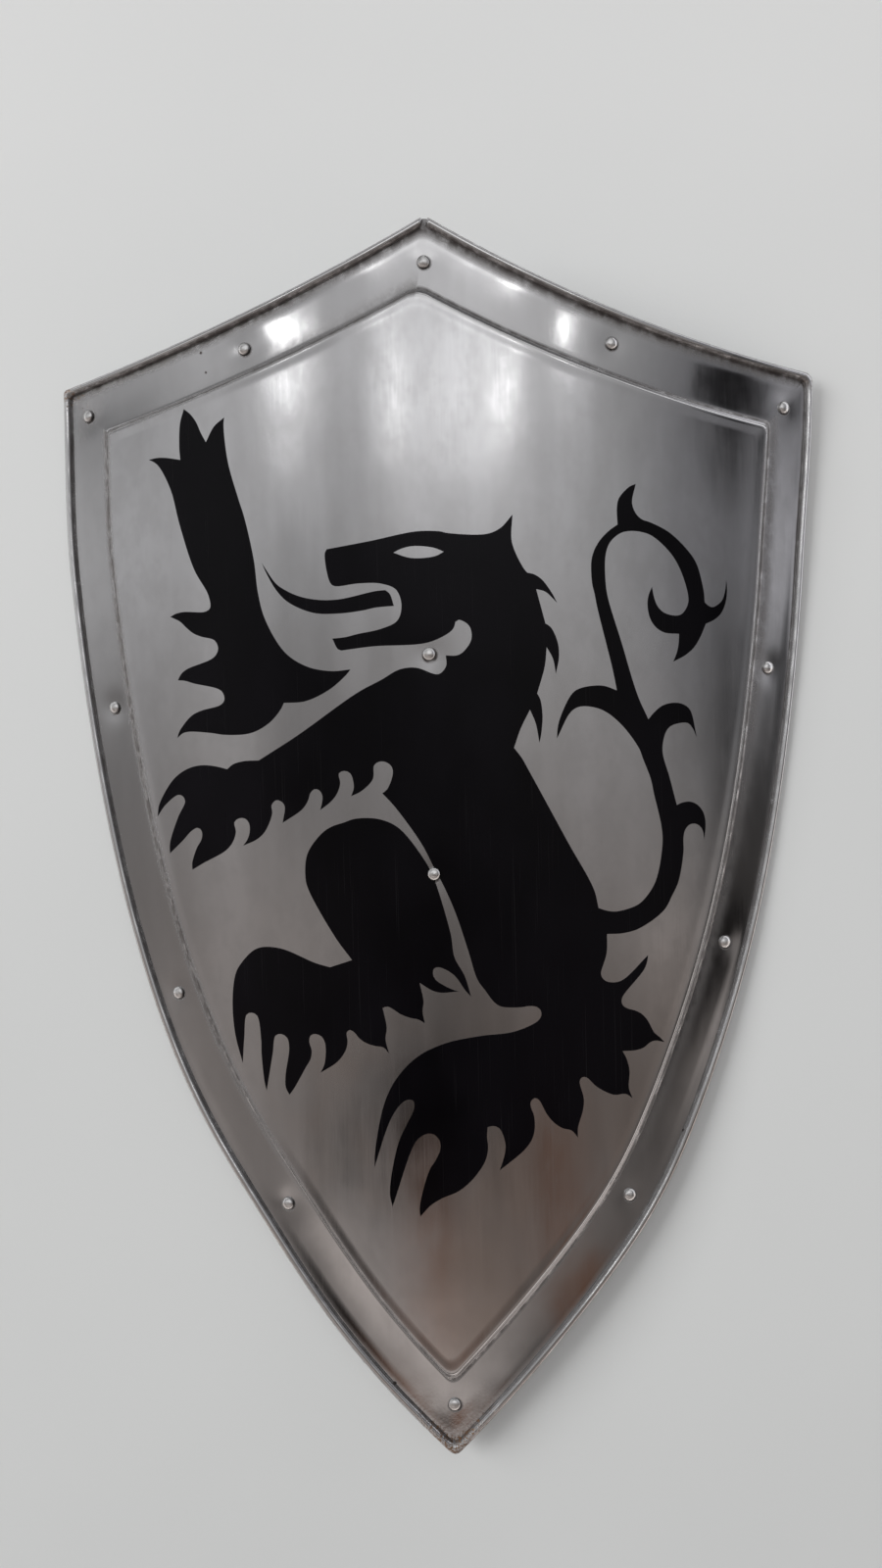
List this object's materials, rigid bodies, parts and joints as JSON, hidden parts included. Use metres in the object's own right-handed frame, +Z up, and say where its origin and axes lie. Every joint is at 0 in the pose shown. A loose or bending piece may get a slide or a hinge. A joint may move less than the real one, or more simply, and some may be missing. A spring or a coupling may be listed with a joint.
{
  "type": "steel heater shield",
  "caption": "Curved heater shield of pressed sheet steel with a raised panel, a riveted border, a rolled edge, a painted heraldic lion and a leather hand grip behind.",
  "frame": {"origin": "on the floor under the middle of the bounding box, the shield lying face up as it comes to rest on its two long edges", "axes": "+Y along the shield from the bottom tip towards the apex, +X to the right seen from the front, +Z up, out of the front"},
  "size_m": [0.4526, 0.7063, 0.0684],
  "materials": {
    "plate_steel": "satin polished sheet steel with fine scratches, grime in the creases and light rust at the tip",
    "rivet_steel": "bright polished domed heads",
    "grip_leather": "dark brown vegetable tanned strap, worn at the bends",
    "lion_paint": "black semi-gloss enamel"
  },
  "bodies": {
    "root": {"shield_plate": "plate_steel", "rivet_apex": "rivet_steel", "rivet_top_left": "rivet_steel", "rivet_top_right": "rivet_steel", "rivet_corner_left": "rivet_steel", "rivet_corner_right": "rivet_steel", "rivet_side_left_upper": "rivet_steel", "rivet_side_right_upper": "rivet_steel", "rivet_side_left_middle": "rivet_steel", "rivet_side_right_middle": "rivet_steel", "rivet_side_left_lower": "rivet_steel", "rivet_side_right_lower": "rivet_steel", "rivet_tip": "rivet_steel", "rivet_grip_upper": "rivet_steel", "rivet_grip_lower": "rivet_steel", "back_grip": "grip_leather"}
  },
  "joints": []
}
